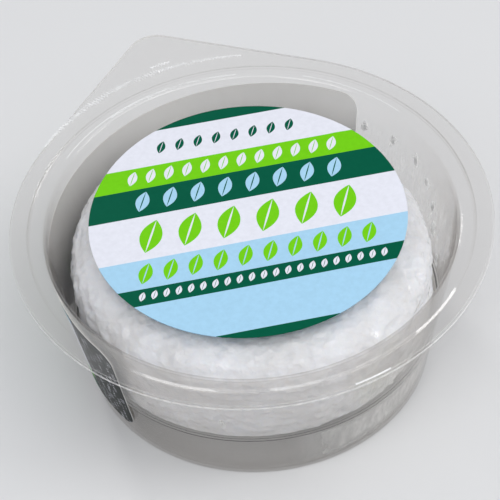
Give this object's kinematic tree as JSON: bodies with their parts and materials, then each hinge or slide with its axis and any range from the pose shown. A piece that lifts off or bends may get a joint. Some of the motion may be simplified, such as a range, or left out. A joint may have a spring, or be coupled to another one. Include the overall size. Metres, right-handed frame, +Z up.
{
  "type": "goat cheese in a sealed tub",
  "caption": "Round white fresh goat cheese on the raised floor of a clear tub, with a clear film sealed over its flange, a round striped label and a wide side label.",
  "frame": {"origin": "under the middle of the bounding box, on the plane that the base ring stands on", "axes": "+Z up out of the tub, +Y towards the peel corner of the flange"},
  "size_m": [0.113, 0.1272, 0.0441],
  "materials": {
    "clear_plastic": "clear thermoformed plastic, glossy",
    "clear_film": "clear sealed film, glossy",
    "printed_label": "satin print in bands of white, green, lime and pale blue",
    "white_label": "matt white paper",
    "white_curd": "moist white fresh curd, slightly pitted"
  },
  "bodies": {
    "root": {"tub": "clear_plastic", "lid_film": "clear_film", "top_label": "printed_label", "side_label": "white_label", "cheese": "white_curd"}
  },
  "joints": []
}
